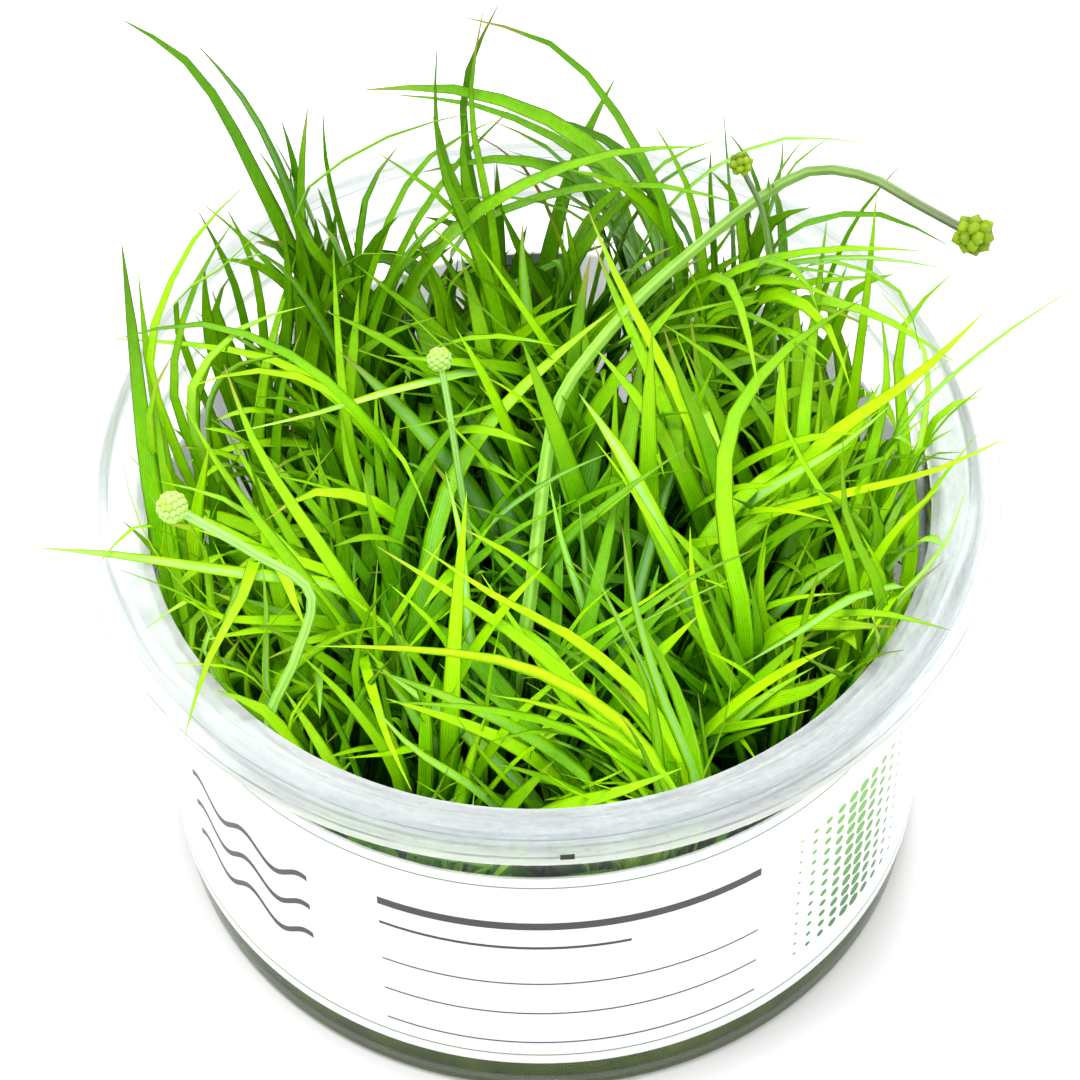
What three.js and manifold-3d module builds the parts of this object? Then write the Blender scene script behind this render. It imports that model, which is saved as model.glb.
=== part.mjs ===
// Tissue-culture pot of dwarf pipewort (Eriocaulon cinereum): a clear cup with a paper band, a bed of
// culture gel, and a thick tuft of small grassy plants with a few button-shaped flower heads.
// Millimetres, +Z up, origin at the centre of the cup's flat base, front of the band towards -Y.

import * as THREE from "three";
import { mergeVertices } from "three/addons/utils/BufferGeometryUtils.js";
import Module from "manifold-3d";

const wasm = await Module();
wasm.setup();

// Cup: a drafted wall, a ledge for a lid, an upstanding collar, and a skirt that slopes down outside it.
const CUP_SEGMENTS = 40;
const BASE_RADIUS = 33;
const WALL_DRAFT = 0.0365;
const WALL = 0.7;
const FLOOR = 1;
const FLOOR_CORNER = 0.7;
const BASE_CORNER = 0.8;
const RIM_RADIUS = 40;
const RIM_HEIGHT = 47.3;
const COLLAR_RADIUS = 37;
const SKIRT_FOOT = 44.7;
const SKIRT_WALL = 0.45;
const SKIRT_LIP = 0.4;
const SKIRT_DROP = 1.2;
const RIM_ROUND = 0.3;
const LEDGE_HEIGHT = 44.3;

// Band: paper round the wall. Gel: poured into the cup, a little clear of its wall.
const GAP = 0.3;
const BAND_LOW = 5.3;
const BAND_HIGH = 35;
const BAND_GAP = 0.2;
const BAND_THICKNESS = 0.25;
const GEL_TOP = 12;
const GEL_CORNER = 1;
const GEL_SEGMENTS = 24;

// Plants: crowns stand on the gel in a sunflower spiral, as close to the wall as a crown fits. A crown is a
// low pyramid, and each of its sloping faces can carry one leaf.
const PLANTS = 30;
const PLANTED_RADIUS = 29.5;
const GOLDEN_ANGLE = Math.PI * (3 - Math.sqrt(5));
const CROWN_RADIUS = 2.6;
const CROWN_HEIGHT = 3;
const CROWN_FACES = 12;
const FOOT_SHARE = 0.6;
const FOOT_RISE = 1;

// Leaves rise from their crown in a narrow sheath, widen into a blade and end in a point. Lengths along a
// leaf are shares of it, from its foot to its tip.
const SHEATH_RISE = 6;
const SHEATH_SPREAD = 1.5;
const SHEATH_WIDTH = 0.55;
const FIRST_RING = 0.17;
const LAST_RING = 0.88;
const TURNED_BY = 0.6;
const TAPER = 4.5;
const TWIST = 0.6;
const MOST_TURN = 0.8;
const TURN_A_RING = 0.62;
const BEND_A_RING = 0.66;
const BEND_STEPS = 12;
const LEAST_SPANS = 2;
const MOST_SPANS = 7;
const LEAF_THICKNESS = 0.28;
const LEAF_CLEARANCE = 0.12;
const SHARED_CROWN = 0.00001;

// A shown leaf grows from one of the nearest crowns under it, and may lie a little higher or lower.
const NEAR_CROWNS = 8;
const LIFTS = [0, 0.6, -0.6, 1.2, -1.2, 2, -2, 3, -3, 4, -4, 5, -5, 6, -6, 7, 8];
const MOST_REACH = 9;

// Hidden leaves fill each plant out, and are shorter and narrower the less room is left. Angles in radians.
const LEAVES_A_PLANT = 11;
const HIDDEN_ROUNDS = 300;
const HIDDEN_SHRINK = 0.45;
const HIDDEN_LENGTH = 36;
const HIDDEN_WIDTH = 2;
const HIDDEN_PARTS = 5;
const HIDDEN_LEAN = 0.2;
const HIDDEN_BEND = 1.1;
const HIDDEN_SWEEP = 1.4;
const SIZE_SPREAD = 0.4;
const LEAN_SPREAD = 1;
const BEND_SPREAD = 1.4;
const WALL_ROOM = 1;

// A flower stalk's section and its steps.
const STALK_SIDES = 5;
const STALK_STEP = 6;

// Finishes.
const material = (color, roughness, options = {}) =>
  new THREE.MeshStandardMaterial({ color, roughness, metalness: 0, ...options });
const CLEAR_PLASTIC = material("#e3eef0", 0.18, { transparent: true, opacity: 0.35 });
const PAPER = material("#f3f4f4", 0.6);
const GEL = material("#5a6a2c", 0.35, { transparent: true, opacity: 0.75 });
const LEAF = material("#74b40c", 0.5);
const STALK = material("#a9c860", 0.5);
const BUD = material("#8d9a35", 0.75);

// The front view in which the leaf paths below are read: the eye's place, its tilt and roll in radians,
// and pixels for a slope of one. A pixel and a height give a point.
const EYE = new THREE.Vector3(0, -324.9, 451.3);
const EYE_TILT = 0.906;
const EYE_ROLL = -0.025;
const EYE_FOCUS = 6052;
const VIEW_CENTRE = 540;

function seenAt([across, down], height) {
  const ahead = new THREE.Vector3(0, Math.cos(EYE_TILT), -Math.sin(EYE_TILT));
  const level = new THREE.Vector3(1, 0, 0);
  const upright = new THREE.Vector3().crossVectors(level, ahead);
  const right = level.clone().multiplyScalar(Math.cos(EYE_ROLL)).addScaledVector(upright, Math.sin(EYE_ROLL));
  const up = upright.multiplyScalar(Math.cos(EYE_ROLL)).addScaledVector(level, -Math.sin(EYE_ROLL));
  const ray = ahead
    .addScaledVector(right, (across - VIEW_CENTRE) / EYE_FOCUS)
    .addScaledVector(up, (VIEW_CENTRE - down) / EYE_FOCUS);
  return EYE.clone().addScaledVector(ray, (height - EYE.z) / ray.z);
}

// Leaves that show. Each has its width in mm, its height in mm where it first shows and at its tip, how far
// it arches above the line between the two, and its path in the front view from there to its tip.
const shown = (wide, from, to, arch, ...path) => ({ wide, from, to, arch, path });

const BACK_LEFT_LEAVES = [
  shown(1.5, 46, 66, 0, [284, 235], [262, 190], [200, 90], [168, 41], [118, 17]),
  shown(1.3, 48, 66, 0, [294, 205], [275, 150], [240, 95], [196, 43]),
  shown(1.1, 50, 62, 0, [300, 200], [292, 155], [281, 119]),
  shown(1.1, 50, 63, 0, [304, 200], [303, 145], [308, 105]),
  shown(0.9, 50, 58, 0, [284, 195], [270, 168], [258, 150]),
  shown(0.7, 50, 62, 0, [330, 195], [325, 155], [323, 112]),
  shown(1.1, 50, 60, 3, [296, 215], [315, 178], [355, 150], [410, 128], [482, 110]),
  shown(0.8, 50, 58, 3, [150, 370], [158, 310], [172, 275], [205, 225], [246, 184]),
  shown(0.8, 46, 54, 1, [173, 385], [180, 325], [200, 275], [236, 217]),
  shown(1.0, 46, 53, 0, [234, 290], [216, 240], [197, 209]),
  shown(1.0, 46, 54, 0, [258, 275], [242, 240], [226, 207]),
  shown(1.6, 40, 57, 0, [150, 520], [149, 440], [140, 385], [127, 290], [121, 238]),
  shown(1.1, 44, 56, 0, [156, 440], [150, 385], [142, 310], [138, 271]),
  shown(1.2, 48, 52, 2, [345, 395], [310, 366], [250, 342], [180, 322], [112, 340]),
  shown(1.3, 45, 50, 1, [352, 410], [300, 372], [230, 350], [140, 341], [107, 339]),
  shown(0.9, 50, 58, 2, [176, 300], [215, 270], [262, 240], [276, 214]),
];

const BACK_LEAVES = [
  shown(1.9, 52, 63, 3, [640, 190], [595, 150], [540, 115], [480, 94], [413, 87], [357, 90]),
  shown(1.3, 50, 60, 2, [605, 178], [560, 146], [510, 117], [450, 100], [388, 94]),
  shown(2.0, 46, 61, 4, [405, 290], [440, 245], [490, 205], [540, 178], [600, 156], [710, 146]),
  shown(1.2, 47, 58, 3, [462, 235], [520, 204], [600, 186], [660, 186], [745, 205]),
  shown(1.0, 50, 70, 0, [484, 215], [468, 150], [463, 105], [470, 65], [500, 1]),
  shown(0.8, 54, 69, 0, [490, 205], [471, 120], [474, 55], [484, 6]),
  shown(1.1, 50, 70, 4, [668, 235], [650, 175], [620, 120], [574, 65], [520, 27], [455, 15]),
  shown(0.8, 52, 67, 0, [478, 225], [452, 165], [433, 110], [429, 80], [437, 45]),
  shown(1.0, 50, 60, 1, [475, 235], [440, 198], [400, 165], [374, 150]),
  shown(1.0, 50, 60, 2, [376, 250], [392, 210], [424, 165], [455, 135], [500, 117]),
  shown(0.5, 50, 56, 0, [552, 210], [540, 182], [520, 164], [494, 152], [468, 130]),
  shown(0.9, 52, 60, 1, [575, 165], [530, 140], [488, 119]),
  shown(1.2, 44, 56, 2, [700, 440], [675, 392], [640, 330], [610, 262], [586, 205]),
  shown(1.1, 42, 54, 1, [568, 385], [545, 345], [520, 305], [475, 240]),
  shown(0.8, 44, 52, 1, [542, 356], [515, 332], [480, 307], [440, 272]),
  shown(0.9, 44, 52, 1, [470, 366], [440, 343], [415, 320], [393, 298]),
  shown(1.0, 44, 54, 0, [345, 420], [337, 350], [336, 300], [333, 245]),
  shown(1.6, 40, 52, 0, [560, 300], [530, 260], [505, 225], [497, 200]),
  shown(0.6, 50, 62, 0, [565, 240], [563, 210], [562, 176]),
];

const BACK_RIGHT_LEAVES = [
  shown(1.2, 46, 57, 3, [700, 296], [745, 270], [800, 255], [860, 248], [928, 251]),
  shown(0.9, 47, 55, 3, [735, 285], [790, 266], [850, 258], [900, 260], [950, 269]),
  shown(1.1, 50, 58, 3, [770, 250], [810, 222], [850, 212], [900, 220], [952, 247]),
  shown(0.7, 52, 62, 2, [680, 190], [726, 155], [790, 138], [836, 137], [870, 143]),
  shown(0.8, 52, 62, 0, [768, 200], [785, 163], [806, 136]),
  shown(0.7, 54, 62, 0, [785, 185], [808, 150], [836, 133]),
  shown(0.6, 54, 64, 0, [783, 180], [782, 155], [782, 132]),
  shown(0.7, 54, 63, 0, [756, 178], [742, 152], [729, 133]),
  shown(0.7, 52, 58, 0, [860, 215], [880, 188], [902, 163]),
  shown(1.0, 46, 59, 0, [860, 350], [868, 290], [872, 245], [877, 190]),
  shown(0.6, 50, 55, 1, [818, 262], [880, 272], [905, 300], [921, 352]),
  shown(1.3, 42, 56, 0, [800, 500], [806, 410], [815, 340], [820, 270], [827, 218]),
  shown(1.1, 40, 50, 3, [668, 300], [700, 272], [730, 285], [748, 335], [759, 397]),
  shown(1.5, 40, 54, 2, [742, 600], [725, 520], [723, 460], [745, 395], [790, 346], [866, 297]),
  shown(1.2, 40, 52, 1, [775, 440], [745, 392], [705, 352], [660, 322]),
  shown(1.0, 44, 54, 1, [640, 330], [680, 312], [720, 305], [757, 296]),
];

const RIGHT_LEAVES = [
  shown(1.6, 42, 55, 1, [770, 500], [815, 452], [870, 414], [930, 365], [989, 307]),
  shown(1.3, 43, 51.5, 2, [770, 508], [830, 498], [900, 483], [965, 459], [1016, 433]),
  shown(0.6, 48, 60, 1, [905, 425], [950, 381], [988, 348], [1032, 314], [1081, 284]),
  shown(0.9, 46, 54, 0, [930, 440], [955, 410], [988, 383]),
  shown(0.7, 47, 52, 0, [945, 475], [962, 453], [979, 432]),
  shown(1.3, 40, 56, 0, [908, 590], [912, 500], [903, 420], [900, 350], [915, 303], [954, 271]),
  shown(0.7, 46, 53, 1, [925, 430], [930, 385], [918, 335], [880, 290]),
  shown(0.8, 45, 52, 2, [774, 548], [800, 506], [845, 474], [900, 455], [962, 461]),
  shown(0.6, 47, 51, 1, [902, 592], [934, 560], [955, 526], [966, 489]),
  shown(1.2, 42, 49, 2.5, [800, 624], [840, 613], [885, 614], [953, 631]),
  shown(1.5, 42, 48, 3, [905, 586], [865, 594], [825, 612], [785, 643], [738, 668]),
  shown(1.2, 36, 51, 0, [787, 700], [792, 660], [806, 615], [822, 563]),
  shown(1.2, 36, 50, 0, [785, 700], [768, 650], [760, 600], [766, 545]),
  shown(1.1, 40, 50, 1, [880, 590], [862, 555], [843, 500], [843, 438]),
  shown(1.2, 42, 49, 1, [870, 560], [895, 530], [920, 505], [945, 482]),
  shown(0.7, 46, 54, 0, [920, 385], [940, 365], [967, 350]),
  shown(0.9, 44, 50, 0, [895, 620], [918, 575], [945, 560]),
  shown(0.7, 42, 48, 0, [855, 665], [880, 655], [905, 650]),
];

const LEFT_LEAVES = [
  shown(1.3, 42, 49.5, 2.5, [340, 590], [280, 580], [220, 571], [140, 558], [30, 547]),
  shown(0.8, 46, 49.5, 1, [165, 523], [140, 525], [115, 542], [98, 564]),
  shown(0.8, 46, 50, 1, [210, 603], [165, 588], [118, 569]),
  shown(0.8, 46, 49, 1, [200, 600], [172, 609], [146, 629]),
  shown(0.7, 47, 49, 1, [215, 664], [172, 663]),
  shown(1.1, 47, 44.5, 4, [252, 560], [240, 605], [215, 650], [195, 688], [184, 738]),
  shown(0.6, 46, 52, 0, [142, 530], [132, 492], [121, 460]),
  shown(0.5, 48, 52, 0, [150, 476], [129, 455]),
  shown(1.0, 42, 52, 1, [312, 580], [265, 530], [215, 460], [180, 397]),
  shown(1.3, 40, 53, 1, [352, 590], [300, 525], [262, 458], [235, 400], [223, 362]),
  shown(1.0, 41, 51, 1, [318, 582], [262, 532], [215, 495], [158, 481]),
  shown(0.9, 40, 50, 0, [284, 560], [265, 515], [255, 475], [244, 443]),
  shown(1.2, 42, 52, 2, [520, 376], [450, 378], [380, 395], [300, 418], [231, 433]),
  shown(0.9, 42, 50, 1, [545, 404], [490, 408], [440, 421], [388, 431]),
  shown(0.9, 44, 48, 4, [338, 372], [352, 407], [385, 438], [412, 475], [432, 526]),
  shown(1.2, 36, 46, 0, [385, 560], [360, 500], [343, 440], [340, 400]),
  shown(1.3, 34, 44, 0, [410, 600], [398, 520], [388, 450], [378, 395]),
  shown(0.8, 38, 47, 0, [340, 560], [335, 510], [322, 470], [310, 443]),
  shown(0.7, 42, 50, 0, [255, 640], [282, 605], [310, 588], [342, 571]),
  shown(1.0, 34, 46, 0, [268, 700], [262, 650], [266, 600], [262, 560]),
];

const FRONT_LEAVES = [
  shown(1.7, 38, 50, 1, [425, 590], [445, 500], [480, 430], [530, 378], [580, 337], [622, 303]),
  shown(2.0, 36, 51, 1, [705, 625], [670, 556], [630, 477], [605, 425], [578, 392]),
  shown(1.5, 34, 50, 0, [712, 560], [712, 480], [703, 400], [690, 316]),
  shown(1.1, 34, 49, 1, [745, 700], [712, 650], [694, 590], [690, 526]),
  shown(1.0, 36, 47, 0, [745, 680], [722, 625], [702, 572]),
  shown(1.0, 38, 49, 2, [568, 680], [600, 645], [640, 605], [700, 574], [760, 547]),
  shown(0.9, 38, 46, 1, [560, 655], [600, 625], [650, 598], [695, 565]),
  shown(1.2, 34, 50, 0, [697, 782], [670, 715], [645, 645], [630, 580], [622, 527]),
  shown(0.9, 34, 46, 0, [590, 650], [588, 590], [583, 545], [579, 500]),
  shown(1.0, 36, 47, 0, [592, 640], [572, 570], [556, 520], [549, 478]),
  shown(1.6, 38, 48, 2, [592, 786], [550, 750], [500, 722], [440, 695], [370, 668]),
  shown(1.5, 34, 46, 2, [655, 782], [600, 742], [540, 722], [470, 708], [383, 702]),
  shown(1.1, 34, 48, 3, [678, 786], [630, 730], [560, 680], [480, 658], [400, 648], [312, 646]),
  shown(1.0, 32, 48, 2, [690, 782], [650, 708], [600, 655], [520, 610], [460, 575], [421, 547]),
  shown(1.0, 32, 47, 1, [640, 790], [590, 728], [540, 668], [505, 608], [480, 572]),
  shown(1.0, 30, 43, 1, [683, 775], [640, 715], [590, 668], [525, 625]),
  shown(0.7, 36, 46, 0, [490, 740], [486, 700], [492, 665], [500, 629]),
  shown(0.9, 38, 48, 0, [378, 650], [387, 618], [410, 588], [434, 562], [446, 535]),
  shown(1.1, 36, 46, 1, [470, 690], [440, 640], [415, 603], [388, 583]),
  shown(0.8, 38, 47, 0, [555, 655], [575, 622], [612, 587]),
  shown(0.7, 34, 43, 0, [527, 800], [530, 768], [532, 733]),
  shown(0.7, 34, 42, 0, [598, 800], [580, 786], [559, 764]),
  shown(1.0, 34, 47, 0, [694, 792], [710, 752], [728, 705], [734, 642]),
  shown(0.8, 34, 45, 0, [706, 780], [703, 735], [698, 692]),
  shown(0.9, 34, 45, 0, [536, 806], [505, 782], [478, 748], [456, 716]),
  shown(1.0, 34, 45, 1, [492, 802], [440, 768], [400, 737], [366, 697]),
  shown(0.9, 36, 46, 0, [360, 700], [354, 655], [375, 600], [408, 572]),
  shown(0.6, 38, 47, 0, [380, 680], [374, 620], [378, 557]),
  shown(1.2, 37, 47, 1, [392, 765], [370, 735], [335, 688], [298, 652]),
  shown(1.0, 37, 44, 2, [360, 652], [375, 700], [390, 745], [412, 792]),
  shown(0.8, 38, 45, 0, [300, 745], [262, 718], [202, 678]),
  shown(0.9, 40, 46, 1, [288, 735], [300, 700], [318, 680]),
  shown(0.7, 36, 42, 1, [443, 798], [452, 783], [472, 777]),
  shown(0.8, 36, 46, 1, [560, 560], [530, 535], [500, 516], [463, 503]),
  shown(0.8, 36, 45, 0, [480, 585], [440, 615], [402, 655]),
  shown(1.0, 34, 44, 0, [470, 640], [460, 590], [458, 520], [445, 470]),
  shown(1.0, 38, 49, 1, [475, 545], [520, 500], [570, 470], [612, 452]),
  shown(1.0, 40, 49, 1, [560, 545], [590, 505], [640, 480], [690, 446]),
];

// Flower stalks, drawn as the leaves are, and the diameter of each one's head.
const FLOWERS = {
  long: {
    stalk: shown(1.5, 38, 62, 0, [528, 615], [537, 540], [545, 470], [556, 408], [619, 320], [688, 255],
      [747, 207], [800, 174], [845, 168], [884, 186], [958, 226]),
    head: 3.5,
  },
  left: {
    stalk: shown(1.0, 42, 57, 0, [268, 718], [289, 669], [310, 635], [322, 609], [308, 592], [275, 569],
      [241, 545], [190, 517]),
    head: 3.0,
  },
  middle: { stalk: shown(0.8, 44, 51, 0, [458, 470], [450, 410], [443, 376]), head: 2.4 },
  back: { stalk: shown(0.8, 54, 62, 0, [766, 222], [755, 198], [744, 172]), head: 2 },
};

// A solid from a closed geometry.
function solidOf(geometry) {
  const bare = geometry.index ? geometry.toNonIndexed() : geometry.clone();
  bare.deleteAttribute("normal");
  bare.deleteAttribute("uv");
  const merged = mergeVertices(bare, 1e-4);
  return new wasm.Manifold(new wasm.Mesh({
    numProp: 3,
    vertProperties: new Float32Array(merged.attributes.position.array),
    triVerts: new Uint32Array(merged.index.array),
  }));
}

// A turned piece: its outline is a list of [radius, height], and Z is its axis.
function turned(outline, segments) {
  const points = outline.map(([radius, height]) => new THREE.Vector2(radius, height));
  const geometry = new THREE.LatheGeometry(points, segments);
  geometry.rotateX(Math.PI / 2);
  return geometry;
}

const wallRadius = (height) => BASE_RADIUS + WALL_DRAFT * height;

function cupOutline() {
  const collarOutside = COLLAR_RADIUS + WALL;
  const underLedge = LEDGE_HEIGHT - WALL;
  return [
    [0, 0],
    [BASE_RADIUS - BASE_CORNER, 0],
    [wallRadius(BASE_CORNER), BASE_CORNER],
    [wallRadius(underLedge), underLedge],
    [collarOutside, underLedge],
    [collarOutside, RIM_HEIGHT - SKIRT_DROP],
    [RIM_RADIUS - SKIRT_WALL, SKIRT_FOOT - SKIRT_LIP],
    [RIM_RADIUS, SKIRT_FOOT],
    [collarOutside + RIM_ROUND, RIM_HEIGHT - RIM_ROUND],
    [COLLAR_RADIUS + RIM_ROUND, RIM_HEIGHT],
    [COLLAR_RADIUS, RIM_HEIGHT - RIM_ROUND],
    [COLLAR_RADIUS, LEDGE_HEIGHT],
    [wallRadius(LEDGE_HEIGHT) - WALL, LEDGE_HEIGHT],
    [wallRadius(FLOOR) - WALL, FLOOR + FLOOR_CORNER],
    [wallRadius(FLOOR) - WALL - FLOOR_CORNER, FLOOR],
    [0, FLOOR],
  ];
}

function bandOutline() {
  const inside = BAND_GAP;
  const outside = BAND_GAP + BAND_THICKNESS;
  return [
    [wallRadius(BAND_LOW) + inside, BAND_LOW],
    [wallRadius(BAND_LOW) + outside, BAND_LOW],
    [wallRadius(BAND_HIGH) + outside, BAND_HIGH],
    [wallRadius(BAND_HIGH) + inside, BAND_HIGH],
    [wallRadius(BAND_LOW) + inside, BAND_LOW],
  ];
}

function gelOutline() {
  const low = FLOOR + GAP;
  const inset = WALL + GAP;
  return [
    [0, low],
    [wallRadius(low) - inset - GEL_CORNER, low],
    [wallRadius(low) - inset, low + GEL_CORNER],
    [wallRadius(GEL_TOP) - inset, GEL_TOP],
    [0, GEL_TOP],
  ];
}

// Everything already in place that a new leaf keeps clear of. A plant's own leaves may share a crown, so only
// their blades keep their distance.
const placed = [];

function place(solid, owner, blade = solid) {
  placed.push({ solid, owner, blade, box: solid.boundingBox() });
}

function isClear(solid, blade, owner) {
  const box = solid.boundingBox();
  return placed.every((other) => {
    const apart = [0, 1, 2].some((i) =>
      box.min[i] > other.box.max[i] + LEAF_CLEARANCE || box.max[i] < other.box.min[i] - LEAF_CLEARANCE);
    if (apart) return true;
    if (other.owner !== owner) return solid.minGap(other.solid, LEAF_CLEARANCE) >= LEAF_CLEARANCE;
    return blade.minGap(other.blade, LEAF_CLEARANCE) >= LEAF_CLEARANCE
      && solid.intersect(other.solid).volume() < SHARED_CROWN;
  });
}

// Crowns are low pyramids. Each sloping face is the foot of one leaf: its left and right corners are on the
// rim and the third is the crown's top.
const crowns = Array.from({ length: PLANTS }, (_, i) => {
  const radius = PLANTED_RADIUS * Math.sqrt((i + 0.5) / PLANTS);
  const angle = i * GOLDEN_ANGLE;
  return new THREE.Vector3(radius * Math.cos(angle), radius * Math.sin(angle), GEL_TOP + GAP);
});

const rimAngle = (face) => (face / CROWN_FACES) * 2 * Math.PI;

function rimCorner(crown, face) {
  const angle = rimAngle(face);
  return new THREE.Vector3(CROWN_RADIUS * Math.cos(angle), CROWN_RADIUS * Math.sin(angle), 0).add(crown);
}

function footRing(crown, face) {
  const top = crown.clone().setZ(crown.z + CROWN_HEIGHT);
  return [rimCorner(crown, face), rimCorner(crown, face + 1), top];
}

const plants = crowns.map((crown) => ({ crown, leaves: new Map() }));

// The free face of a crown that lies most nearly in a heading.
function freeFace({ crown, leaves }, heading) {
  const turn = (face) => Math.abs(wrapped(rimAngle(face + 0.5) - heading));
  return Array.from({ length: CROWN_FACES }, (_, face) => face)
    .filter((face) => !leaves.has(face))
    .sort((a, b) => turn(a) - turn(b))[0];
}

function wrapped(angle) {
  return Math.atan2(Math.sin(angle), Math.cos(angle));
}

// A leaf's rings above its foot: more of them the more it bends.
function ringStations(curve) {
  let bend = 0;
  for (let i = 0; i < BEND_STEPS; i += 1) {
    bend += curve.getTangentAt(i / BEND_STEPS).angleTo(curve.getTangentAt((i + 1) / BEND_STEPS));
  }
  const spans = Math.min(MOST_SPANS, Math.max(LEAST_SPANS, Math.round(bend / BEND_A_RING) + 1));
  return Array.from({ length: spans + 1 }, (_, i) => FIRST_RING + (LAST_RING - FIRST_RING) * i / spans);
}

// A leaf's rings and tip. Each ring is its left edge, its right edge and a ridge on its upper side. The blade
// turns from its crown face's heading towards its own, keeps its width low down and narrows to a point.
function leafRings(curve, foot, heading, wide, twist) {
  const start = curve.getPointAt(0);
  const tip = curve.getPointAt(1);
  const away = wrapped(Math.atan2(tip.y - start.y, tip.x - start.x) - heading);
  const turn = Math.max(-MOST_TURN, Math.min(MOST_TURN, away));
  const rings = ringStations(curve).map((station) => {
    const centre = curve.getPointAt(station);
    const along = curve.getTangentAt(station);
    const facing = heading + turn * Math.min(1, station / TURNED_BY);
    const side = new THREE.Vector3(-Math.sin(facing), Math.cos(facing), 0);
    side.addScaledVector(along, -side.dot(along)).normalize();
    side.applyAxisAngle(along, twist * station);
    const upper = new THREE.Vector3().crossVectors(along, side);
    const width = wide * Math.min(1, SHEATH_WIDTH + station) * (1 - station ** TAPER);
    return [
      centre.clone().addScaledVector(side, -width / 2),
      centre.clone().addScaledVector(side, width / 2),
      centre.clone().addScaledVector(upper, width * LEAF_THICKNESS),
    ];
  });
  return { rings: [foot, ...rings], tip };
}

// The faces of a tube through rings of three corners, closed by a tip.
function tubeFaces({ rings, tip }) {
  const faces = [];
  rings.forEach((ring, i) => {
    const next = rings[i + 1];
    for (let a = 0; a < 3; a += 1) {
      const b = (a + 1) % 3;
      if (next) faces.push([ring[a], ring[b], next[b]], [ring[a], next[b], next[a]]);
      else faces.push([ring[a], ring[b], tip]);
    }
  });
  return faces;
}

function geometryFrom(faces) {
  const geometry = new THREE.BufferGeometry();
  const positions = faces.flat().flatMap((corner) => corner.toArray());
  geometry.setAttribute("position", new THREE.Float32BufferAttribute(positions, 3));
  return geometry;
}

function tubeSolid({ rings, tip }) {
  const [left, right, upper] = rings[0];
  return solidOf(geometryFrom([[left, upper, right], ...tubeFaces({ rings, tip })]));
}

// A leaf folds into itself where a corner of a ring doesn't lie ahead of the ring before it, or where it
// turns too far about its length from one ring to the next.
function isFolded({ rings, tip }) {
  const across = ([left, right]) => right.clone().sub(left).normalize();
  const ahead = ([left, right, upper]) => right.clone().sub(left).cross(upper.clone().sub(left));
  return rings.some((ring, i) => {
    const next = rings[i + 1] ?? [tip, tip, tip];
    const last = rings[i + 1] ?? ring;
    const isBehind = ring.some((corner, a) => {
      const step = next[a].clone().sub(corner);
      return step.dot(ahead(ring)) <= 0 || step.dot(ahead(last)) <= 0;
    });
    return isBehind || across(ring).angleTo(across(last)) > TURN_A_RING;
  });
}

function grow(owner, face, curve, wide, twist) {
  const { crown, leaves } = plants[owner];
  const leaf = leafRings(curve, footRing(crown, face), rimAngle(face + 0.5), wide, twist);
  if (isFolded(leaf)) return false;
  const solid = tubeSolid(leaf);
  const blade = tubeSolid({ rings: leaf.rings.slice(1), tip: leaf.tip });
  if (!isClear(solid, blade, owner)) return false;
  place(solid, owner, blade);
  leaves.set(face, leaf);
  return true;
}

// A leaf starts at the middle of its crown face and rises a little before it turns away.
function sheathPoints(crown, face) {
  const heading = rimAngle(face + 0.5);
  const outward = new THREE.Vector3(Math.cos(heading), Math.sin(heading), 0);
  const foot = crown.clone().addScaledVector(outward, CROWN_RADIUS * FOOT_SHARE).setZ(crown.z + FOOT_RISE);
  const sheath = foot.clone().addScaledVector(outward, SHEATH_SPREAD).setZ(foot.z + SHEATH_RISE);
  return [foot, sheath];
}

// The path of a shown leaf or stalk beyond its first points, with all it shows lifted by some height.
function shownCurve({ from, to, arch, path }, first, lift) {
  const lengths = [0];
  for (let i = 1; i < path.length; i += 1) {
    lengths.push(lengths[i - 1] + Math.hypot(path[i][0] - path[i - 1][0], path[i][1] - path[i - 1][1]));
  }
  const points = path.map((pixel, i) => {
    const share = lengths[i] / lengths.at(-1);
    return seenAt(pixel, from + lift + (to - from) * share + arch * 4 * share * (1 - share));
  });
  return new THREE.CatmullRomCurve3([...first, ...points], false, "centripetal");
}

// A leaf grows from a crown that lies under the stretch that first shows: the nearest comes first.
function crownsUnder({ from, to, arch, path }) {
  const start = seenAt(path[0], from);
  const next = seenAt(path[1], from + (to - from) / path.length + arch);
  const slope = next.sub(start);
  const reach = Math.min(MOST_REACH, (start.z - GEL_TOP) * Math.hypot(slope.x, slope.y) / Math.max(slope.z, 1));
  const under = start.clone().setZ(0).addScaledVector(slope.setZ(0).normalize(), -reach);
  const distance = (i) => Math.hypot(crowns[i].x - under.x, crowns[i].y - under.y);
  return [...crowns.keys()].sort((a, b) => distance(a) - distance(b)).slice(0, NEAR_CROWNS);
}

const scene = new THREE.Group();

function addPiece(name, geometry, finish) {
  const mesh = new THREE.Mesh(geometry, finish);
  mesh.name = name;
  scene.add(mesh);
}

function addTurned(name, outline, segments, finish) {
  const geometry = turned(outline, segments);
  addPiece(name, geometry, finish);
  place(solidOf(geometry), name);
}

addTurned("cup", cupOutline(), CUP_SEGMENTS, CLEAR_PLASTIC);
addTurned("paper_band", bandOutline(), CUP_SEGMENTS, PAPER);
addTurned("culture_gel", gelOutline(), GEL_SEGMENTS, GEL);

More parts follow.
